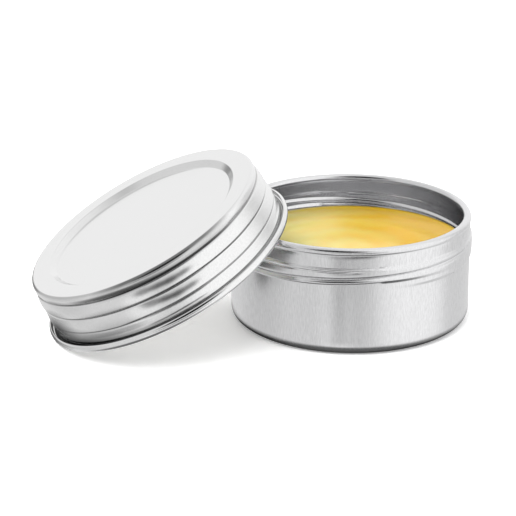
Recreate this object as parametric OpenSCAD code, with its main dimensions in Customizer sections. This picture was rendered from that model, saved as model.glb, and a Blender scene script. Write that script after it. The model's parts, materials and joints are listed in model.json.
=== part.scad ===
// Screw-top shoe polish tin: a drawn aluminium can filled with wax polish,
// and its one-piece lid with a loose foam liner, leaning on the can's rim.
// Millimetres, +Z up, origin at the centre of the can's flat base.

/* [Can] */
// Outer diameter of the can's wall
can_d = 60; // [58:0.5:62]
// Height of the can over its rolled rim
can_h = 27.35; // [26.5:0.05:29]
// Outer radius of the corner between wall and base
base_corner_r = 2.7; // [1:0.1:3]
// Thickness of the aluminium sheet
sheet = 0.35; // [0.3:0.01:0.38]
// Radius of the rolled rim's tube
rim_tube_r = 1.05; // [0.9:0.05:1.15]

/* [Thread] */
// How far the thread beads stand out of the can's wall
bead_proud = 0.4; // [0.3:0.05:0.5]
// Radius of a thread bead's section
bead_r = 1.6; // [1.4:0.1:1.8]
// Height of the lower bead above the base
lower_bead_z = 18.6; // [18:0.1:19]
// Height of the upper bead above the base
upper_bead_z = 21.4; // [21:0.1:22]
// Outer diameter at the bottom of the lid's thread grooves
groove_floor_d = 61.2; // [61.1:0.1:61.4]
// Radius of a groove's section
groove_r = 0.9; // [0.7:0.1:1.2]

/* [Polish] */
// Height of the polish's surface above the can's base
polish_z = 18; // [8:0.5:20]

/* [Lid] */
// Height of the lid, curled edge to top
lid_h = 14.9; // [14.5:0.1:15.5]
// Outer diameter of the lid's top band
lid_top_d = 61.9; // [61.8:0.1:62.4]
// Outer diameter of the skirt where it runs into the curl
lid_skirt_d = 63.1; // [63:0.1:63.6]
// Radius of the curled edge's tube
curl_tube_r = 1.05; // [0.9:0.05:1.2]
// Rounding of the lid's top edge
lid_corner_r = 1; // [0.8:0.1:1.2]
// Diameter of the lip round the sunken panel
panel_lip_d = 51; // [48:0.5:52]
// Diameter of the sunken panel's flat floor
panel_floor_d = 48.6; // [44:0.2:49]
// How far the panel is sunk below the lid's top
panel_depth = 1.2; // [0.8:0.1:1.3]

/* [Liner] */
// Diameter of the foam liner
liner_d = 59.8; // [57:0.2:59.8]
// Thickness of the foam liner
liner_t = 1; // [0.8:0.1:1.2]
// Free play between the liner and the panel above it
liner_play = 0.1; // [0.1:0.05:0.2]

/* [Leaning lid] */
// Angle at which the lid leans on the can
lean = 28; // [28:0.1:29]
// Distance of the lid's centre from the can's axis, at its open edge
lean_x = 46.3; // [46.3:0.1:48]

/* [Hidden] */
$fn = 180;
section_fn = 64;              // facets of a bead's or curl's section
rim_proud = 0.15;             // how far the rolled rim stands out of the wall
can_r = can_d / 2;
rim_r = can_r + rim_proud - rim_tube_r;   // centre circle of the rolled rim
rim_z = can_h - rim_tube_r;
bead_zs = [lower_bead_z, upper_bead_z];
lid_top_r = lid_top_d / 2;
lid_skirt_r = lid_skirt_d / 2;
panel_z = lid_h - panel_depth;            // top face of the sunken panel
groove_zs = [5, 8.8, 12.6];               // heights in the lid's own frame
curl_r = lid_skirt_r - sheet + curl_tube_r;   // centre circle of the curl
over = 1;                                 // cutters run this far past the metal

// The curled edge's lowest point stands on the same surface as the can.
lean_z = curl_r * sin(lean) + curl_tube_r * (1 - cos(lean));

function skirt_r_at(z) =
    lid_skirt_r + (lid_top_r - lid_skirt_r) * (z - curl_tube_r) / (lid_h - curl_tube_r);

module revolve() {
    rotate_extrude() children();
}

// Filled half section of the can, inset by a depth from its outer face.
module can_section(inset) {
    wall_r = can_r - inset;
    corner = base_corner_r - inset;
    translate([0, base_corner_r]) square([wall_r, rim_z - base_corner_r]);
    translate([0, inset]) square([can_r - base_corner_r, base_corner_r]);
    intersection() {
        translate([can_r - base_corner_r, base_corner_r]) circle(corner, $fn = section_fn);
        square([can_r, base_corner_r]);
    }
    for (z = bead_zs)
        intersection() {
            translate([can_r + bead_proud - bead_r, z]) circle(bead_r - inset, $fn = section_fn);
            square([can_r + over, can_h]);
        }
}

// Half section of the rim, rolled inwards; its raw edge ends under the roll.
module rim_section() {
    translate([rim_r, rim_z])
        difference() {
            circle(rim_tube_r, $fn = section_fn);
            circle(rim_tube_r - sheet, $fn = section_fn);
            translate([0, -rim_tube_r - over]) mirror([1, 0])
                square([rim_tube_r - 2 * sheet, rim_tube_r + over]);
        }
}

module tin_can() {
    color("silver")
        revolve() {
            difference() {
                can_section(0);
                can_section(sheet);
            }
            rim_section();
        }
}

// The wax is cast into the can, so it fills the can's own inner section.
module polish() {
    color("gold")
        revolve()
            intersection() {
                can_section(sheet);
                square([can_r, polish_z]);
            }
}

// Filled half section of the lid in its own frame, inset from its outer face.
module lid_section(inset) {
    corner_z = lid_h - lid_corner_r;
    corner_x = lid_top_r - lid_corner_r;
    difference() {
        union() {
            polygon([
                [0, curl_tube_r],
                [lid_skirt_r - inset, curl_tube_r],
                [skirt_r_at(corner_z) - inset, corner_z],
                [0, corner_z]
            ]);
            translate([0, corner_z - over]) square([corner_x, lid_corner_r + over - inset]);
            intersection() {
                translate([corner_x, corner_z]) circle(lid_corner_r - inset, $fn = section_fn);
                translate([0, corner_z]) square([lid_top_r, lid_corner_r]);
            }
        }
        for (z = groove_zs)
            translate([groove_floor_d / 2 + groove_r, z])
                circle(groove_r + inset, $fn = section_fn);
        polygon([
            [0, panel_z - inset],
            [panel_floor_d / 2 + inset / 2, panel_z - inset],
            [panel_lip_d / 2 + inset / 2, lid_h - inset],
            [panel_lip_d / 2 + inset / 2, lid_h + over],
            [0, lid_h + over]
        ]);
    }
}

// Half section of the edge curled outwards and up, open on the skirt's side.
module curl_section() {
    translate([curl_r, curl_tube_r])
        difference() {
            circle(curl_tube_r, $fn = section_fn);
            circle(curl_tube_r - sheet, $fn = section_fn);
            translate([-curl_tube_r - over, 0]) square([curl_tube_r + over - sheet / 2, curl_tube_r + over]);
        }
}

// Places a shape from the lid's own frame into the leaning lid's frame.
module leaning() {
    translate([-lean_x, 0, lean_z]) rotate([0, -lean, 0]) children();
}

module lid_shell() {
    color("lightgray")
        leaning()
            revolve() {
                difference() {
                    lid_section(0);
                    lid_section(sheet);
                }
                curl_section();
            }
}

module lid_liner() {
    color("white")
        leaning()
            translate([0, 0, panel_z - sheet - liner_play - liner_t])
                cylinder(d = liner_d, h = liner_t);
}

tin_can();
polish();
lid_shell();
lid_liner();
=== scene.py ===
"""A screw-top shoe polish tin: a drawn aluminium can of wax polish, its lid leaning on the rim.

Run as a script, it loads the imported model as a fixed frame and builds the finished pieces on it.
Lengths are in metres in Blender and in millimetres in the outlines, which MM turns to metres.
"""

import json
import math

import bmesh
import bpy
from mathutils import Matrix, Vector


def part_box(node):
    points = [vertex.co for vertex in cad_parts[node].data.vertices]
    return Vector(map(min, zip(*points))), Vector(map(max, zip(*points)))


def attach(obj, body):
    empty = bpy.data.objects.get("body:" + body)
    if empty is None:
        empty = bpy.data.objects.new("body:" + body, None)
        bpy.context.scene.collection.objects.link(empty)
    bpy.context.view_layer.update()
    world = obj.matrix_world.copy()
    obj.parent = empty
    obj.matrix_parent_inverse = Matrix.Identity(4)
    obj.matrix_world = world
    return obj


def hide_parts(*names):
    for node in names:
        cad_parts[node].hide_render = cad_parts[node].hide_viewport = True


bl_info = {
    "name": "Shoe Polish Tin",
    "version": (1, 0, 0),
    "blender": (4, 5, 0),
    "location": "View3D > Sidebar > Polish Tin",
    "description": "Builds a screw-top shoe polish tin with its lid leaning on the rim",
    "category": "Add Mesh",
}

MM = 0.001
MERGE_DISTANCE = 0.002 * MM

# ---------------------------------------------------------------- the frame

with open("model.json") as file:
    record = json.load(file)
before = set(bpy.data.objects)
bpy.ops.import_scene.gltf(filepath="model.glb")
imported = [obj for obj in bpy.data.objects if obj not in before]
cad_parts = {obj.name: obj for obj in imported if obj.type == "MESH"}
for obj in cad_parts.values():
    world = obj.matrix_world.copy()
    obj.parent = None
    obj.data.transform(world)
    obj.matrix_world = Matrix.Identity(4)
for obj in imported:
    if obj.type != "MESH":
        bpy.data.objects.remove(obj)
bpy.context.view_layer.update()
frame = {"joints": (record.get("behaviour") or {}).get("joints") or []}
JOINTS = {joint["name"]: joint for joint in frame["joints"]}

CAN_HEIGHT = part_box("tin_can")[1].z / MM
POLISH_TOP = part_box("polish")[1].z / MM

# The lid's own frame: its origin is the middle of the open edge, its Z its axis.
LID_AXIS = Vector(JOINTS["lid_turn"]["axis"]).normalized()
LID_LEAN = math.atan2(-LID_AXIS.x, LID_AXIS.z)
LID_PLACE = Matrix.Translation(JOINTS["lid_turn"]["pos_m"]) @ Matrix.Rotation(-LID_LEAN, 4, "Y")
CURL_OUTER_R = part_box("lid_shell")[1].y / MM

# The liner's box leans with it, so its thickness comes from the box's width.
LINER_LOW, LINER_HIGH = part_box("lid_liner")
LINER_R = LINER_HIGH.y / MM
LINER_T = (
    (LINER_HIGH.x - LINER_LOW.x) / MM - 2 * LINER_R * math.cos(LID_LEAN)
) / math.sin(LID_LEAN)
LINER_MIDDLE = LID_PLACE.inverted() @ ((LINER_LOW + LINER_HIGH) / 2)


def linear(hex_colour):
    """An sRGB hex value as a linear colour with alpha."""
    channels = [int(hex_colour[i : i + 2], 16) / 255 for i in (0, 2, 4)]
    return [c / 12.92 if c <= 0.04045 else ((c + 0.055) / 1.055) ** 2.4 for c in channels] + [1.0]


# ---------------------------------------------------------------- settings


def length(name, description, default_mm):
    """A length property with its default in millimetres."""
    return bpy.props.FloatProperty(
        name=name, description=description, default=default_mm * MM, min=0.0, unit="LENGTH"
    )


def colour(name, description, default_hex):
    """A colour property with its default as an sRGB hex value."""
    return bpy.props.FloatVectorProperty(
        name=name,
        description=description,
        default=linear(default_hex),
        size=4,
        subtype="COLOR",
        min=0.0,
        max=1.0,
    )


class CanSettings(bpy.types.PropertyGroup):
    wall_radius: length("Wall radius", "Outer radius of the can's wall", 30)
    sheet: length("Sheet", "Thickness of the aluminium sheet", 0.35)
    corner_radius: length("Corner radius", "Rounding between the wall and the base", 2.7)
    rim_tube_radius: length("Rim roll", "Radius of the rolled rim's tube", 1.05)
    thread_height: length("Thread height", "How far the rolled thread stands proud", 0.5)
    metal: colour("Metal", "Colour of the can's aluminium", "E7E7E8")


class LidSettings(bpy.types.PropertyGroup):
    height: length("Height", "From the open edge to the top", 14.9)
    top_radius: length("Top radius", "Outer radius of the band under the top edge", 30.95)
    skirt_radius: length("Skirt radius", "Outer radius where the skirt meets the curl", 31.55)
    corner_radius: length("Corner radius", "Rounding of the top edge", 1)
    curl_tube_radius: length("Edge curl", "Radius of the curled edge's tube", 1.05)
    panel_radius: length("Panel radius", "Radius of the sunken panel's flat floor", 24.2)
    panel_lip_radius: length("Lip radius", "Radius of the lip round the sunken panel", 25.5)
    panel_depth: length("Panel depth", "How far the panel is sunk", 1.2)
    metal: colour("Metal", "Colour of the lid's aluminium", "ECECEC")


class PolishSettings(bpy.types.PropertyGroup):
    meniscus: length("Meniscus", "How far the wax climbs up the wall", 0.5)
    dish: length("Dish", "How far the middle sank as the wax set", 0.45)
    wax: colour("Wax", "Colour of the wax", "D0A412")
    # the paler colour is painted light, laid on the wax's side towards the lid
    painted_light_wax: colour("Pale wax", "Colour of the wax on its paler side", "C9C468")


class LinerSettings(bpy.types.PropertyGroup):
    rim_print: length("Rim print", "Depth of the ring that the can's rim pressed in", 0.2)
    foam: colour("Foam", "Colour of the foam", "EFEFEC")


class StageSettings(bpy.types.PropertyGroup):
    aim: bpy.props.FloatVectorProperty(
        name="Aim",
        description="The point that the camera looks at",
        default=(-0.0226, 0.0052, 0.0144),
        subtype="TRANSLATION",
        unit="LENGTH",
    )
    azimuth: bpy.props.FloatProperty(
        name="Azimuth",
        description="The camera's turn round the tin, from straight in front",
        default=math.radians(-12.9),
        unit="ROTATION",
    )
    elevation: bpy.props.FloatProperty(
        name="Elevation",
        description="The camera's height above the table, as an angle",
        default=math.radians(20.0),
        unit="ROTATION",
    )
    distance: length("Distance", "From the camera to the point it looks at", 555)
    lens: bpy.props.FloatProperty(
        name="Lens", description="Focal length in millimetres", default=153.5, min=1.0
    )
    table: colour("Table", "Colour of the white table", "FFFFFF")


# ---------------------------------------------------------------- mesh tools


def arc(centre, radius, start, end, steps):
    """Points along an arc in an outline's plane, with its angles in degrees."""
    points = []
    for i in range(steps + 1):
        angle = math.radians(start + (end - start) * i / steps)
        points.append((centre[0] + radius * math.cos(angle), centre[1] + radius * math.sin(angle)))
    return points


def line(start, end, steps):
    """Points from start up to, and without, end."""
    return [
        (start[0] + (end[0] - start[0]) * i / steps, start[1] + (end[1] - start[1]) * i / steps)
        for i in range(steps)
    ]


def spun(outline, steps):
    """A bmesh of an outline of (radius, height) in millimetres, spun round the Z axis."""
    bm = bmesh.new()
    verts = [bm.verts.new((r * MM, 0, z * MM)) for r, z in outline]
    edges = [bm.edges.new(pair) for pair in zip(verts, verts[1:])]
    bmesh.ops.spin(
        bm,
        geom=verts + edges,
        cent=(0, 0, 0),
        axis=(0, 0, 1),
        angle=math.tau,
        steps=steps,
        use_merge=True,
    )
    bmesh.ops.remove_doubles(bm, verts=bm.verts, dist=MERGE_DISTANCE)
    bmesh.ops.recalc_face_normals(bm, faces=bm.faces)
    return bm


# Points nearer the axis than this belong to the flat base or panel, which nothing presses.
INNERMOST_PRESSED = 20 * MM


def press(bm, relief):
    """Moves each point away from the Z axis by what relief(height, azimuth) gives, in millimetres."""
    for vert in bm.verts:
        radius = math.hypot(vert.co.x, vert.co.y)
        if radius < INNERMOST_PRESSED:
            continue
        out = relief(vert.co.z / MM, math.degrees(math.atan2(vert.co.y, vert.co.x))) * MM
        vert.co.x *= 1 + out / radius
        vert.co.y *= 1 + out / radius


def finished(bm, name, body, node, material, place=None):
    """Makes the bmesh a piece that rides on a body and stands for a node of the frame."""
    if place:
        bmesh.ops.transform(bm, matrix=place, verts=bm.verts)
    mesh = bpy.data.meshes.new(name)
    bm.to_mesh(mesh)
    bm.free()
    mesh.shade_smooth()
    mesh.materials.append(material)
    piece = bpy.data.objects.new(name, mesh)
    bpy.context.scene.collection.objects.link(piece)
    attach(piece, body)
    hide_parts(node)
    return piece


def thicken(piece, sheet):
    """Gives a one-sided sheet its thickness, inwards from its outer face."""
    wall = piece.modifiers.new("sheet", "SOLIDIFY")
    wall.thickness = sheet
    wall.offset = -1
    wall.use_even_offset = True


def smooth_step(value, low, high):
    """0 below low, 1 above high, with an eased rise between."""
    t = min(max((value - low) / (high - low), 0), 1)
    return t * t * (3 - 2 * t)


# ---------------------------------------------------------------- materials


def add_node(tree, kind, inputs=None, **settings):
    """Adds a shader node with its settings, and sets or links its inputs."""
    made = tree.nodes.new("ShaderNode" + kind)
    for key, value in settings.items():
        setattr(made, key, value)
    for key, value in (inputs or {}).items():
        if isinstance(value, bpy.types.NodeSocket):
            tree.links.new(value, made.inputs[key])
        else:
            made.inputs[key].default_value = value
    return made


def new_material(name):
    """An empty node material and its tree."""
    material = bpy.data.materials.new(name)
    material.use_nodes = True
    material.node_tree.nodes.clear()
    return material, material.node_tree


def finish_material(tree, shader):
    """Joins a shader to the material's output."""
    add_node(tree, "OutputMaterial", {"Surface": shader.outputs[0]})


# Where shade and reflection are painted into the lid's metal as a darker tint, in metres in the lid's
# own frame.
TINT_SIDE = (-26 * MM, 6 * MM)           # X from full tint to none, for the gutter and the top line
GUTTER_DARK = 2.3 * MM                   # height below which the gutter is darkest
GUTTER_REACH = (8.2 * MM, 3.6 * MM)      # height at which it ends, on the low side and off it
REACH_SIDE = (-32 * MM, -16 * MM)        # X between which that height changes
CURL_ONWARD = (32.3 * MM, 32.5 * MM)     # radius from which the curl stays bright
TOP_LINE_RADIUS = 30.45 * MM
TOP_LINE_HALF = (0.12 * MM, 0.38 * MM)
FRONT_LINE_HALF = (0.25 * MM, 0.65 * MM)
FRONT_SIDE = (-28.5 * MM, -24 * MM)      # Y from full front line to none
CREASE_HALF = (0.1 * MM, 0.3 * MM)
ABOVE_CURL = (2.6 * MM, 3.2 * MM)        # height from which the creases are tinted


def painted_shade(tree, own):
    """How much of its brightness the lid keeps, from 0 to 1. The studio leaves the gutter,
    the creases and the top edge too light, so this tint, set by position, darkens them. It
    stands in for shade and reflection and isn't a property of the metal."""
    parts = add_node(tree, "SeparateXYZ", {"Vector": own})
    flat = add_node(tree, "CombineXYZ", {"X": parts.outputs["X"], "Y": parts.outputs["Y"]})
    radius = add_node(tree, "VectorMath", {0: flat.outputs[0]}, operation="LENGTH")
    radius = radius.outputs["Value"]
    height = parts.outputs["Z"]

    # painted shade in the gutter, tallest on the low side
    reach = add_node(
        tree,
        "MapRange",
        {
            "Value": parts.outputs["X"],
            "From Min": REACH_SIDE[0],
            "From Max": REACH_SIDE[1],
            "To Min": GUTTER_REACH[0],
            "To Max": GUTTER_REACH[1],
        },
    )
    above = add_node(
        tree,
        "MapRange",
        {
            "Value": height,
            "From Min": GUTTER_DARK,
            "From Max": reach.outputs[0],
            "To Min": 0.1,
            "To Max": 1.0,
        },
    )
    outside = add_node(
        tree,
        "MapRange",
        {"Value": radius, "From Min": CURL_ONWARD[0], "From Max": CURL_ONWARD[1]},
    )
    gutter = add_node(
        tree, "Math", {0: above.outputs[0], 1: outside.outputs[0]}, operation="MAXIMUM"
    )

    # a thin line of painted shade round the top edge
    off_line = add_node(tree, "Math", {0: radius, 1: TOP_LINE_RADIUS}, operation="SUBTRACT")
    apart = add_node(tree, "Math", {0: off_line.outputs[0]}, operation="ABSOLUTE")
    top_line = add_node(
        tree,
        "MapRange",
        {
            "Value": apart.outputs[0],
            "From Min": TOP_LINE_HALF[0],
            "From Max": TOP_LINE_HALF[1],
            "To Min": 0.72,
            "To Max": 1.0,
        },
    )
    lines = add_node(
        tree, "Math", {0: gutter.outputs[0], 1: top_line.outputs[0]}, operation="MULTIPLY"
    )

    # both fade away from the low side
    low_side = add_node(
        tree,
        "MapRange",
        {
            "Value": parts.outputs["X"],
            "From Min": TINT_SIDE[0],
            "From Max": TINT_SIDE[1],
            "To Min": -1.0,
            "To Max": 0.0,
        },
    )
    missing = add_node(tree, "Math", {0: 1.0, 1: lines.outputs[0]}, operation="SUBTRACT")
    kept = add_node(
        tree,
        "Math",
        {0: missing.outputs[0], 1: low_side.outputs[0], 2: 1.0},
        operation="MULTIPLY_ADD",
    )

    # painted shade along the creases
    # the creases are evenly spaced, so half a space is the farthest a point is from one
    from_crease = add_node(
        tree, "Math", {0: height, 1: LID_CREASES[0] * MM}, operation="SUBTRACT"
    )
    half_space = (LID_CREASES[1] - LID_CREASES[0]) / 2 * MM
    beside = add_node(tree, "Math", {0: from_crease.outputs[0], 1: half_space}, operation="PINGPONG")
    crease = add_node(
        tree,
        "MapRange",
        {
            "Value": beside.outputs[0],
            "From Min": CREASE_HALF[0],
            "From Max": CREASE_HALF[1],
            "To Min": 0.56,
            "To Max": 1.0,
        },
    )
    over_curl = add_node(
        tree,
        "MapRange",
        {
            "Value": height,
            "From Min": ABOVE_CURL[0],
            "From Max": ABOVE_CURL[1],
            "To Min": 1.0,
            "To Max": 0.0,
        },
    )
    crease = add_node(
        tree, "Math", {0: crease.outputs[0], 1: over_curl.outputs[0]}, operation="MAXIMUM"
    )
    kept = add_node(tree, "Math", {0: kept.outputs[0], 1: crease.outputs[0]}, operation="MULTIPLY")

    # the painted shade on the top edge is darkest along the front
    edge = add_node(
        tree,
        "MapRange",
        {
            "Value": apart.outputs[0],
            "From Min": FRONT_LINE_HALF[0],
            "From Max": FRONT_LINE_HALF[1],
            "To Min": 0.7,
            "To Max": 0.0,
        },
    )
    front = add_node(
        tree,
        "MapRange",
        {
            "Value": parts.outputs["Y"],
            "From Min": FRONT_SIDE[0],
            "From Max": FRONT_SIDE[1],
            "To Min": -1.0,
            "To Max": 0.0,
        },
    )
    front_edge = add_node(
        tree,
        "Math",
        {0: edge.outputs[0], 1: front.outputs[0], 2: 1.0},
        operation="MULTIPLY_ADD",
    )
    kept = add_node(
        tree, "Math", {0: kept.outputs[0], 1: front_edge.outputs[0]}, operation="MULTIPLY"
    )
    return kept.outputs[0]


STREAK_WIDTH = 0.2 * MM
PATCH_SIZE = 5 * MM
GLOSS_SPREAD = 0.015                     # roughness either way from the middle


def drawn_aluminium(name, metal, place, roughness, grain_depth, streak, dullness, tint=None):
    """Drawn aluminium sheet: the press pulls its rolled grain into faint streaks along the wall, so it
    gives soft, wide reflections with fine lines across them. streak is their length, dullness the
    brightness of the dull ones, and tint a function that paints shade into the colour by position."""
    material, tree = new_material(name)
    where = add_node(tree, "TexCoord")
    own = add_node(
        tree,
        "Mapping",
        {
            "Vector": where.outputs["Object"],
            "Location": place.to_translation(),
            "Rotation": place.to_euler(),
        },
        vector_type="TEXTURE",
    )
    # the real streaks are finer than this, and would not show
    along = add_node(
        tree,
        "Mapping",
        {"Vector": own.outputs[0], "Scale": (1 / STREAK_WIDTH, 1 / STREAK_WIDTH, 1 / streak)},
    )
    streaks = add_node(
        tree,
        "TexNoise",
        {"Vector": along.outputs[0], "Scale": 1.0, "Detail": 3.0, "Roughness": 0.6},
    )
    # uneven sheet, in patches
    patches = add_node(
        tree,
        "TexNoise",
        {"Vector": own.outputs[0], "Scale": 1 / PATCH_SIZE, "Detail": 2.0, "Roughness": 0.5},
    )
    # flat faces are drawn least, and keep half of the streaks
    facing = add_node(
        tree,
        "VectorMath",
        {0: where.outputs["Normal"], 1: place.to_quaternion() @ Vector((0, 0, 1))},
        operation="DOT_PRODUCT",
    )
    flat = add_node(tree, "Math", {0: facing.outputs["Value"]}, operation="ABSOLUTE")
    grain = add_node(
        tree,
        "MapRange",
        {
            "Value": flat.outputs[0],
            "From Min": 0.7,
            "From Max": 0.98,
            "To Min": 1.0,
            "To Max": 0.5,
        },
    )
    uneven = add_node(
        tree,
        "Math",
        {0: streaks.outputs["Fac"], 1: patches.outputs["Fac"]},
        operation="ADD",
    )
    gloss = add_node(
        tree,
        "MapRange",
        {
            "Value": uneven.outputs[0],
            "From Min": 0.7,
            "From Max": 1.3,
            "To Min": roughness - GLOSS_SPREAD,
            "To Max": roughness + GLOSS_SPREAD,
        },
    )
    dull = [c * dullness for c in metal[:3]] + [1.0]
    tone = add_node(
        tree,
        "MapRange",
        {
            "Value": streaks.outputs["Fac"],
            "From Min": 0.3,
            "From Max": 0.7,
        },
    )
    # 0.5 is the middle of the tone, where the grain leaves no trace
    centred = add_node(tree, "Math", {0: tone.outputs[0], 1: 0.5}, operation="SUBTRACT")
    faded = add_node(
        tree,
        "Math",
        {0: centred.outputs[0], 1: grain.outputs[0], 2: 0.5},
        operation="MULTIPLY_ADD",
    )
    colours = add_node(tree, "Mix", data_type="RGBA")
    tree.links.new(faded.outputs[0], colours.inputs[0])
    colours.inputs[6].default_value = dull
    colours.inputs[7].default_value = metal
    shown = colours.outputs[2]
    # painted shade: the colour is scaled down by position
    if tint:
        kept = tint(tree, own.outputs[0])
        scaled = add_node(tree, "VectorMath", {0: shown, "Scale": kept}, operation="SCALE")
        shown = scaled.outputs["Vector"]
    bump = add_node(
        tree,
        "Bump",
        {"Height": streaks.outputs["Fac"], "Strength": grain.outputs[0], "Distance": grain_depth},
    )
    shader = add_node(
        tree,
        "BsdfPrincipled",
        {
            "Base Color": shown,
            "Metallic": 1.0,
            "Roughness": gloss.outputs[0],
            "Normal": bump.outputs[0],
        },
    )
    finish_material(tree, shader)
    return material


CLOUD_SIZE = 9 * MM
CLOUD_SHIFT = 6 * MM
# painted light: the wax is painted paler towards -X, the lid's side
PAINTED_LIGHT_SIDE = (16 * MM, -24 * MM)          # X from no paleness to full
RING_SCALE = 25 * MM                     # one unit of the ring texture
RING_STRENGTH = 0.22
DIMPLE_SIZE = 1.2 * MM


def cast_wax(settings):
    """Hard carnauba wax polish, poured hot: a smooth skin with a soft gloss over a body that light
    enters, with faint rings. Its colour is painted paler towards the lid's side, as painted light."""
    material, tree = new_material("cast_wax_polish")
    where = add_node(tree, "TexCoord")
    # the painted light, a paler colour, fades across the can, at a border that clouds 9 mm across make
    # uneven
    across = add_node(tree, "SeparateXYZ", {"Vector": where.outputs["Object"]})
    clouds = add_node(
        tree,
        "TexNoise",
        {"Vector": where.outputs["Object"], "Scale": 1 / CLOUD_SIZE, "Detail": 3.0, "Roughness": 0.55},
    )
    shifted = add_node(
        tree,
        "MapRange",
        {
            "Value": clouds.outputs["Fac"],
            "To Min": -CLOUD_SHIFT,
            "To Max": CLOUD_SHIFT,
        },
    )
    place = add_node(
        tree, "Math", {0: across.outputs["X"], 1: shifted.outputs[0]}, operation="ADD"
    )
    pale = add_node(
        tree,
        "MapRange",
        {
            "Value": place.outputs[0],
            "From Min": PAINTED_LIGHT_SIDE[0],
            "From Max": PAINTED_LIGHT_SIDE[1],
        },
    )
    # faint rings, bent out of round by the distortion
    rings = add_node(
        tree,
        "TexWave",
        {
            "Vector": where.outputs["Object"],
            "Scale": 1 / RING_SCALE,
            "Distortion": 5.0,
            "Detail": 2.0,
            "Detail Scale": 1.2,
        },
        wave_type="RINGS",
        rings_direction="Z",
    )
    ringed = add_node(
        tree,
        "Math",
        {0: rings.outputs["Fac"], 1: RING_STRENGTH, 2: -RING_STRENGTH / 2},
        operation="MULTIPLY_ADD",
    )
    blend = add_node(
        tree, "Math", {0: pale.outputs[0], 1: ringed.outputs[0]}, operation="ADD", use_clamp=True
    )
    colours = add_node(tree, "Mix", data_type="RGBA")
    tree.links.new(blend.outputs[0], colours.inputs[0])
    colours.inputs[6].default_value = settings.wax
    colours.inputs[7].default_value = settings.painted_light_wax
    # a skin like orange peel
    skin = add_node(
        tree,
        "TexNoise",
        {"Vector": where.outputs["Object"], "Scale": 1 / DIMPLE_SIZE, "Detail": 2.0},
    )
    bump = add_node(
        tree, "Bump", {"Height": skin.outputs["Fac"], "Strength": 0.6, "Distance": 0.02 * MM}
    )
    shader = add_node(
        tree,
        "BsdfPrincipled",
        {
            "Base Color": colours.outputs[2],
            "Roughness": 0.3,
            "IOR": 1.45,
            "Subsurface Weight": 0.35,
            "Subsurface Radius": (1.0, 0.6, 0.2),
            "Subsurface Scale": 3 * MM,
            "Coat Weight": 0.85,
            "Coat Roughness": 0.14,
            "Normal": bump.outputs[0],
        },
    )
    finish_material(tree, shader)
    return material


CELL_SIZE = 0.8 * MM
CELL_SHADE = 0.86


def foam(settings):
    """Expanded polyethylene foam: matt white, with closed cells under a thin skin."""
    material, tree = new_material("expanded_polyethylene_foam")
    where = add_node(tree, "TexCoord")
    cells = add_node(
        tree, "TexVoronoi", {"Vector": where.outputs["Object"], "Scale": 1 / CELL_SIZE}
    )
    shade = add_node(
        tree,
        "MapRange",
        {
            "Value": cells.outputs["Distance"],
            "From Max": 0.8,
            "To Min": 1.0,
            "To Max": 0.0,
        },
    )
    colours = add_node(tree, "Mix", data_type="RGBA")
    tree.links.new(shade.outputs[0], colours.inputs[0])
    colours.inputs[6].default_value = [c * CELL_SHADE for c in settings.foam[:3]] + [1.0]
    colours.inputs[7].default_value = settings.foam
    bump = add_node(
        tree, "Bump", {"Height": shade.outputs[0], "Strength": 0.7, "Distance": 0.05 * MM}
    )
    shader = add_node(
        tree,
        "BsdfPrincipled",
        {
            "Base Color": colours.outputs[2],
            "Roughness": 0.85,
            "IOR": 1.5,
            "Subsurface Weight": 0.15,
            "Subsurface Scale": 1 * MM,
            "Normal": bump.outputs[0],
        },
    )
    finish_material(tree, shader)
    return material


# ---------------------------------------------------------------- the thread
# Heights and widths in millimetres, turns in degrees from the beginning of a start.

THREAD_LOW = 16.6
THREAD_TOP = 22.4
THREAD_LEAD = 7.2
THREAD_STARTS = 2
FIRST_START = -90                        # azimuth at which a start begins
BAND_LOW, BAND_CLIMB = 17.1, 1.9         # lower edge of the raised band, and how far it climbs
START_RISE = 45                          # turn over which a start rises out of the wall
START_PLAIN = (18.4, 19.4)               # where the band is already there as a start begins
GROOVE_IN, GROOVE_OUT = (50, 110), (215, 262)
GROOVE_TURN, GROOVE_HEIGHT = 127, 19.0   # a point that the groove passes
GROOVE_WIDTH = 0.42
GROOVE_DEPTH = 0.95                      # share of the thread's height
FINE_IN, FINE_OUT = (110, 135), (160, 172)
FINE_HEIGHT, FINE_WIDTH, FINE_DEPTH = 21.6, 0.2, 0.12


def dip(distance, width):
    """The section of a rounded groove, from 1 in the middle to 0."""
    return math.exp(-((distance / width) ** 2))


def can_thread(z, azimuth, height):
    """The rolled thread of the can: a low raised band, cut by a right-handed groove for
    each start. Each start begins low and soft and ends in a sharp step."""
    if not THREAD_LOW - 1 < z < THREAD_TOP + 1:
        return 0.0
    span = 360 / THREAD_STARTS
    turn = (azimuth - FIRST_START) % span
    done = turn / span
    # lower edge of the raised band
    low = BAND_LOW + BAND_CLIMB * done**2.2
    soft_low = 1.1 - 0.85 * done
    band = smooth_step(z, low - soft_low / 2, low + soft_low / 2)
    # upper edge
    soft_top = 1.2 - 0.9 * smooth_step(turn, 60, 130)
    top = THREAD_TOP - 0.1
    band *= 1 - smooth_step(z, top - soft_top / 2, top + soft_top / 2)
    # each start rises out of the plain wall
    rising = smooth_step(turn, 0, START_RISE)
    band *= rising + (1 - rising) * smooth_step(z, *START_PLAIN)
    relief = height * band
    # the groove, here and where the start before it still runs on
    for passed in (turn, turn + span):
        depth = smooth_step(passed, *GROOVE_IN) * (1 - smooth_step(passed, *GROOVE_OUT))
        middle = GROOVE_HEIGHT + THREAD_LEAD / 360 * (passed - GROOVE_TURN)
        relief -= height * GROOVE_DEPTH * depth * dip(z - middle, GROOVE_WIDTH) * band
    # a fine second crease just under the top edge
    crease = smooth_step(turn, *FINE_IN) * (1 - smooth_step(turn, *FINE_OUT))
    return relief - FINE_DEPTH * crease * dip(z - FINE_HEIGHT, FINE_WIDTH)


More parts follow.
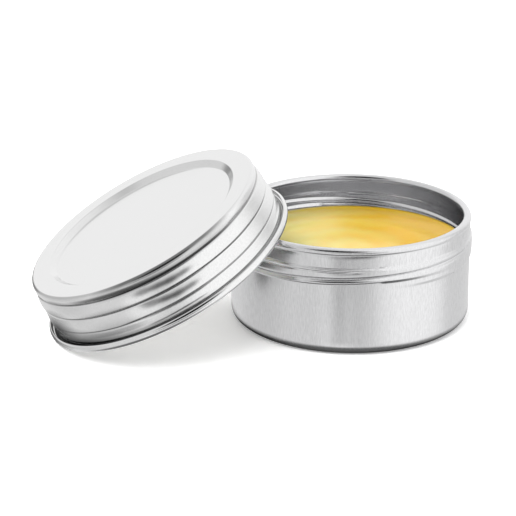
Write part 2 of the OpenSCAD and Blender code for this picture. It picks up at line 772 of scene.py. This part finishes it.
LID_CREASES = (5.0, 8.8, 12.6)
CREASE_WIDTH, CREASE_DEPTH = 0.22, 0.38
BAND_FLARE = 0.17
BAND_SWELL = 0.2
TOP_LEAN, TOP_LEAN_REACH = 0.22, 1.3     # how far the band above the top crease leans in
LOW_CREASE_IN, LOW_CREASE_OUT = (-122, -92), (150, 175)    # azimuths where it starts and ends
LOW_BAND_LEFT = 0.35                     # what is left of the lowest band where its crease ends


def lid_thread(h, azimuth):
    """The lid's rolled thread: rounded bands that widen downwards, between narrow level
    creases. The lowest crease runs out into the plain skirt, and the band above the top
    crease leans in to meet it."""
    low, middle, high = LID_CREASES
    fade = smooth_step(azimuth, *LOW_CREASE_IN) * (1 - smooth_step(azimuth, *LOW_CREASE_OUT))
    low_strength = LOW_BAND_LEFT + (1 - LOW_BAND_LEFT) * fade
    relief = 0.0
    for foot, head, strength in ((low, middle, low_strength), (middle, high, 1.0)):
        if foot < h < head:
            share = (head - h) / (head - foot)
            relief += strength * BAND_FLARE * (2 * share - 1)
            relief += strength * BAND_SWELL * math.sin(math.pi * share) ** 0.8
    if h > high:
        relief -= TOP_LEAN * (1 - smooth_step(h, high, high + TOP_LEAN_REACH))
    for height in LID_CREASES:
        strength = fade if height == low else 1.0
        relief -= CREASE_DEPTH * strength * dip(h - height, CREASE_WIDTH)
    return relief


# ---------------------------------------------------------------- outlines


BASE_RISE = 0.3                          # how far the middle of the base is pressed up
RIM_PROUD = 0.15                         # how far the rolled rim stands out of the wall
ROLL_END = 248                           # angle round the rim's tube at which the sheet ends
HOLLOW_HEIGHT, HOLLOW_RADIUS = 3.3, 2.5  # the lid's skirt as it turns out to the gutter
CURL_WALL = 0.35                         # how far inside the tube's face the gutter's face runs


def can_outline(settings):
    """The can's outer face, from the middle of the base round to the rim's raw edge."""
    wall = settings.wall_radius / MM
    corner = settings.corner_radius / MM
    tube = settings.rim_tube_radius / MM
    rim = (wall + RIM_PROUD - tube, CAN_HEIGHT - tube)
    foot = wall - corner
    points = line((0, BASE_RISE), (foot - 4.0, BASE_RISE), 8)
    points += line((foot - 4.0, BASE_RISE), (foot - 3.2, 0), 3)
    points += line((foot - 3.2, 0), (foot, 0), 4)
    points += arc((foot, corner), corner, -90, 0, 12)
    points += line((wall, corner + 0.8), (wall, THREAD_LOW), 10)
    points += line((wall, THREAD_LOW), (wall, THREAD_TOP + 0.6), 60)
    points += line((wall, THREAD_TOP + 0.6), (wall, rim[1] - 1.0), 6)
    points += line((wall - 0.02, rim[1] - 0.9), (wall - 0.08, rim[1] - 0.5), 3)
    points += arc(rim, tube, -20, ROLL_END, 30)
    return points


def lid_outline(settings):
    """The lid's outer face, from the middle of the panel round to the curl's raw edge."""
    top = settings.height / MM
    corner = settings.corner_radius / MM
    band = settings.top_radius / MM
    skirt = settings.skirt_radius / MM
    tube = settings.curl_tube_radius / MM
    panel = settings.panel_radius / MM
    lip = settings.panel_lip_radius / MM
    sunk = top - settings.panel_depth / MM
    straight = LID_CREASES[0]
    points = line((0, sunk), (panel - 0.7, sunk), 10)
    points += arc((panel - 0.4, sunk + 0.6), 0.6, -90, -38, 7)
    points += arc((lip + 0.2, top - 0.45), 0.45, 142, 90, 7)
    points += line((lip + 0.4, top), (band - corner, top), 5)
    points += arc((band - corner, top - corner), corner, 90, 4, 14)
    points += skirt_rows((band, top - corner - 0.1), (skirt, straight - 0.6))
    points += line((skirt, straight - 0.7), (skirt, HOLLOW_HEIGHT), 6)
    # the skirt hollows out, then drops into the gutter of the open curl
    points += arc((skirt + HOLLOW_RADIUS, HOLLOW_HEIGHT), HOLLOW_RADIUS, 180, 203, 7)
    points += arc((CURL_OUTER_R - tube, tube), tube - CURL_WALL, 155, 428, 28)
    return points


def skirt_rows(start, end):
    """Points down the skirt, close together at the creases."""
    points = []
    height = start[1]
    while height > end[1]:
        share = (start[1] - height) / (start[1] - end[1])
        points.append((start[0] + (end[0] - start[0]) * share, height))
        near = min(abs(height - crease) for crease in LID_CREASES)
        height -= 0.07 if near < 3 * CREASE_WIDTH else 0.17
    return points


WAX_PLAY = 0.38                          # from the can's outer face to the edge of the wax
WAX_SINK = 0.1                           # how far the drawn skin lies under the CAD's
WAX_RINGS = 60
RIPPLE = 0.03


def polish_outline(settings, wall):
    """The wax from the middle of its skin to the middle of its underside."""
    top = POLISH_TOP
    dish = settings.dish / MM
    climb = settings.meniscus / MM
    edge = wall - WAX_PLAY
    points = []
    for i in range(WAX_RINGS):
        radius = edge * i / WAX_RINGS
        across = radius / edge
        # a shallow dish that steepens into the meniscus, with slow rings
        rise = dish * (across**2 - 1) * 0.5 + climb * across**40
        ripple = RIPPLE * math.sin(across * 21) * smooth_step(across, 0.15, 0.4)
        points.append((radius, top + rise + ripple - WAX_SINK))
    points += [(edge, top + climb - WAX_SINK)]
    points += line((edge, top - 0.4), (edge, 3.0), 8)
    points += [(edge, 2.6), (edge - 2.0, 0.8), (0, 0.8)]
    return points


def liner_outline(settings):
    """The foam disc's section, with the print of the can's rim in its lower face."""
    half = LINER_T / 2
    round_off = 0.3
    depth = settings.rim_print / MM
    edge = LINER_R
    points = line((0, -half), (27.4, -half), 6)
    points += [(27.4, -half), (28.1, -half + depth * 0.7), (28.7, -half + depth)]
    points += [(29.2, -half + depth * 0.8)]
    points += arc((edge - round_off, -half + round_off + depth * 0.3), round_off, -60, 0, 4)
    points += arc((edge - round_off, half - round_off), round_off, 0, 90, 4)
    points += line((edge - 1.0, half), (0, half), 6)
    points += [(0, half)]
    return points


# ---------------------------------------------------------------- operators


class TIN_OT_can(bpy.types.Operator):
    """Make the drawn can with its rolled rim and thread"""

    bl_idname = "polish_tin.can"
    bl_label = "Make Can"

    def execute(self, context):
        settings = context.scene.tin_can_settings
        metal = drawn_aluminium(
            "drawn_aluminium_can",
            list(settings.metal),
            Matrix(),
            roughness=0.22,
            grain_depth=0.003 * MM,
            streak=1.6 * MM,
            dullness=0.84,
        )
        bm = spun(can_outline(settings), 288)
        height = settings.thread_height / MM
        press(bm, lambda z, azimuth: can_thread(z, azimuth, height))
        can = finished(bm, "can", "can", "tin_can", metal)
        thicken(can, settings.sheet)
        return {"FINISHED"}


class TIN_OT_polish(bpy.types.Operator):
    """Make the cast wax polish"""

    bl_idname = "polish_tin.polish"
    bl_label = "Make Polish"

    def execute(self, context):
        settings = context.scene.tin_polish_settings
        can = context.scene.tin_can_settings
        bm = spun(polish_outline(settings, can.wall_radius / MM), 180)
        wax = finished(bm, "wax_polish", "can", "polish", cast_wax(settings))
        # the metal above the wax mirrors the can instead, which keeps it free of yellow
        wax.visible_glossy = False
        return {"FINISHED"}


class TIN_OT_lid(bpy.types.Operator):
    """Make the lid with its sunken panel, rolled thread and curled edge"""

    bl_idname = "polish_tin.lid"
    bl_label = "Make Lid"

    def execute(self, context):
        settings = context.scene.tin_lid_settings
        metal = drawn_aluminium(
            "drawn_aluminium_lid",
            list(settings.metal),
            LID_PLACE,
            roughness=0.17,
            grain_depth=0.002 * MM,
            streak=0.6 * MM,
            dullness=0.89,
            # painted shade and reflection in the gutter, the creases and the top edge
            tint=painted_shade,
        )
        bm = spun(lid_outline(settings), 240)
        low = 2 * settings.curl_tube_radius / MM
        high = (settings.height - settings.corner_radius) / MM

        def relief(h, azimuth):
            return lid_thread(h, azimuth) * smooth_step(h, low, low + 1) if h < high else 0.0

        press(bm, relief)
        lid = finished(bm, "lid", "lid", "lid_shell", metal, LID_PLACE)
        thicken(lid, context.scene.tin_can_settings.sheet)
        return {"FINISHED"}


class TIN_OT_liner(bpy.types.Operator):
    """Make the loose foam liner inside the lid"""

    bl_idname = "polish_tin.liner"
    bl_label = "Make Liner"

    def execute(self, context):
        settings = context.scene.tin_liner_settings
        bm = spun(liner_outline(settings), 128)
        place = LID_PLACE @ Matrix.Translation(LINER_MIDDLE)
        finished(bm, "foam_liner", "liner", "lid_liner", foam(settings), place)
        return {"FINISHED"}


# The studio as the metal mirrors it: (azimuth, elevation, half width, softness, brightness),
# in degrees, with azimuth counted from +X to +Y.
ROOM = 0.80
ROOM_CARDS = (
    (-40, 5, 40, 18, 1.17),
    (-40, 55, 28, 16, 1.17),
    (30, -22, 24, 14, 0.80),
    (60, 20, 28, 16, 1.06),
    (55, 50, 24, 14, 1.05),
    (101, 19, 12, 8, 1.04),
    (-100, -80, 34, 14, 0.15),
    (160, -18, 20, 14, 0.70),
    (112, -4, 9, 6, 0.30),
    (-118, -27, 12, 6, 1.0),
    (-118, 39, 24, 6, 0.0),
    (-115, -14, 7, 5, 0.30),
    (-102, -10, 6, 5, 0.10),
    (-90, -7, 6, 6, 0.05),
    (-79, -1, 5, 5, 0.20),
)


def mirrored_room():
    """A world that lights the tin softly and gives the metal something to mirror."""
    world = bpy.data.worlds.new("studio")
    world.use_nodes = True
    tree = world.node_tree
    tree.nodes.clear()
    where = add_node(tree, "TexCoord").outputs["Generated"]
    level = add_node(tree, "Value")
    level.outputs[0].default_value = ROOM
    level = level.outputs[0]
    for azimuth, elevation, half, soft, brightness in ROOM_CARDS:
        turn, tilt = math.radians(azimuth), math.radians(elevation)
        facing = (
            math.cos(tilt) * math.cos(turn),
            math.cos(tilt) * math.sin(turn),
            math.sin(tilt),
        )
        near = add_node(tree, "VectorMath", {0: where, 1: facing}, operation="DOT_PRODUCT")
        mask = add_node(
            tree,
            "MapRange",
            {
                "Value": near.outputs["Value"],
                "From Min": math.cos(math.radians(half + soft)),
                "From Max": math.cos(math.radians(max(half - soft, 0))),
            },
            interpolation_type="SMOOTHSTEP",
        )
        mixed = add_node(tree, "Mix", data_type="FLOAT")
        tree.links.new(mask.outputs[0], mixed.inputs[0])
        tree.links.new(level, mixed.inputs[2])
        mixed.inputs[3].default_value = brightness
        level = mixed.outputs[0]
    background = add_node(tree, "Background", {"Color": level})
    white = add_node(tree, "Background", {"Color": (1, 1, 1, 1), "Strength": 1.0})
    rays = add_node(tree, "LightPath")
    shown = add_node(
        tree,
        "MixShader",
        {0: rays.outputs["Is Camera Ray"], 1: background.outputs[0], 2: white.outputs[0]},
    )
    add_node(tree, "OutputWorld", {"Surface": shown.outputs[0]})
    return world


PAINTED_FOOT_SHADE = (0.12, 0.12, 0.12, 1)
# Where glossy rays meet the painted foot shade, a dark sheet seen only in the metal, under the can and
# under the low side of the resting lid: (x, y, radius, softness) in metres. Farther off the metal
# mirrors the studio's cards.
NEAR_TABLE = ((-0.0005, 0.0, 0.0315, 0.002), (-0.074, 0.0, 0.009, 0.005))


def white_table(colour):
    """Matt white laminate that glows a little, which lightens the shadows on it. To glossy rays it is
    a painted shade, a dark sheet at the tin's foot and under the lid's low side, and clear elsewhere,
    so the metal mirrors only that painted shade."""
    material, tree = new_material("white_table")
    where = add_node(tree, "TexCoord").outputs["Object"]
    far = None
    for x, y, radius, soft in NEAR_TABLE:
        away = add_node(tree, "VectorMath", {0: where, 1: (x, y, 0)}, operation="DISTANCE")
        ramp = add_node(
            tree,
            "MapRange",
            {
                "Value": away.outputs["Value"],
                "From Min": radius - soft,
                "From Max": radius + soft,
            },
        ).outputs[0]
        if far:
            ramp = add_node(tree, "Math", {0: far, 1: ramp}, operation="MULTIPLY").outputs[0]
        far = ramp
    board = add_node(
        tree,
        "BsdfPrincipled",
        {
            "Base Color": colour,
            "Roughness": 0.6,
            "Emission Color": colour,
            "Emission Strength": 0.25,
        },
    )
    # painted shade: a dark sheet that only glossy rays see, near the tin's foot and the lid's low side
    shade = add_node(tree, "BsdfDiffuse", {"Color": PAINTED_FOOT_SHADE})
    gone = add_node(tree, "BsdfTransparent")
    mirrored = add_node(tree, "MixShader", {0: far, 1: shade.outputs[0], 2: gone.outputs[0]})
    rays = add_node(tree, "LightPath")
    shader = add_node(
        tree,
        "MixShader",
        {0: rays.outputs["Is Glossy Ray"], 1: board.outputs[0], 2: mirrored.outputs[0]},
    )
    finish_material(tree, shader)
    return material


# (name, azimuth, elevation, distance, size, watts), in degrees and metres
LAMPS = (
    ("key_light", -140, 50, 0.7, 0.45, 4.0),
    ("back_light", 135, 62, 0.8, 0.6, 4.0),
)
TABLE_DROP = 0.05 * MM                   # keeps the table clear of the tin's flat foot
TABLE_HALF = 3.0


def soft_light(name, azimuth, elevation, distance, size, watts):
    """A square soft box that faces the tin."""
    turn, tilt = math.radians(azimuth), math.radians(elevation)
    place = Vector(
        (
            math.cos(tilt) * math.cos(turn),
            math.cos(tilt) * math.sin(turn),
            math.sin(tilt),
        )
    )
    data = bpy.data.lights.new(name, "AREA")
    data.shape = "SQUARE"
    data.size = size
    data.energy = watts
    lamp = bpy.data.objects.new(name, data)
    lamp.location = place * distance
    lamp.rotation_euler = place.to_track_quat("Z", "Y").to_euler()
    # the cards alone are what the metal mirrors
    lamp.visible_glossy = False
    bpy.context.scene.collection.objects.link(lamp)
    return lamp


class TIN_OT_stage(bpy.types.Operator):
    """Make the white table, the studio light and the camera"""

    bl_idname = "polish_tin.stage"
    bl_label = "Make Stage"

    def execute(self, context):
        settings = context.scene.tin_stage_settings
        scene = context.scene
        scene.view_settings.view_transform = "Standard"
        scene.world = mirrored_room()

        material = white_table(list(settings.table))
        bm = bmesh.new()
        bmesh.ops.create_grid(bm, x_segments=1, y_segments=1, size=TABLE_HALF)
        bmesh.ops.translate(bm, verts=bm.verts, vec=(0, 0, -TABLE_DROP))
        mesh = bpy.data.meshes.new("table")
        bm.to_mesh(mesh)
        bm.free()
        mesh.materials.append(material)
        table = bpy.data.objects.new("table", mesh)
        scene.collection.objects.link(table)

        for lamp in LAMPS:
            soft_light(*lamp)

        camera = bpy.data.objects.new("camera", bpy.data.cameras.new("camera"))
        camera.data.lens = settings.lens
        camera.data.sensor_width = 36
        camera.data.clip_start = 0.01
        turn, tilt = settings.azimuth, settings.elevation
        back = Vector(
            (
                math.sin(turn) * math.cos(tilt),
                -math.cos(turn) * math.cos(tilt),
                math.sin(tilt),
            )
        )
        camera.location = Vector(settings.aim) + back * settings.distance
        camera.rotation_euler = back.to_track_quat("Z", "Y").to_euler()
        scene.collection.objects.link(camera)
        scene.camera = camera
        return {"FINISHED"}


class TIN_PT_panel(bpy.types.Panel):
    """The tin's buttons and settings in the sidebar"""

    bl_idname = "TIN_PT_panel"
    bl_label = "Shoe Polish Tin"
    bl_space_type = "VIEW_3D"
    bl_region_type = "UI"
    bl_category = "Polish Tin"

    def draw(self, context):
        for operator, group in STEPS:
            box = self.layout.box()
            box.operator(operator.bl_idname)
            settings = getattr(context.scene, group)
            for key in settings.__annotations__:
                box.prop(settings, key)


STEPS = (
    (TIN_OT_stage, "tin_stage_settings"),
    (TIN_OT_can, "tin_can_settings"),
    (TIN_OT_polish, "tin_polish_settings"),
    (TIN_OT_lid, "tin_lid_settings"),
    (TIN_OT_liner, "tin_liner_settings"),
)
SETTINGS = {
    "tin_stage_settings": StageSettings,
    "tin_can_settings": CanSettings,
    "tin_polish_settings": PolishSettings,
    "tin_lid_settings": LidSettings,
    "tin_liner_settings": LinerSettings,
}
CLASSES = (*SETTINGS.values(), *(operator for operator, _ in STEPS), TIN_PT_panel)


def register():
    for cls in CLASSES:
        bpy.utils.register_class(cls)
    for name, group in SETTINGS.items():
        setattr(bpy.types.Scene, name, bpy.props.PointerProperty(type=group))


def unregister():
    for name in SETTINGS:
        delattr(bpy.types.Scene, name)
    for cls in reversed(CLASSES):
        bpy.utils.unregister_class(cls)


def main():
    register()
    for operator, _ in STEPS:
        group, name = operator.bl_idname.split(".")
        getattr(getattr(bpy.ops, group), name)()


if __name__ == "__main__":
    main()
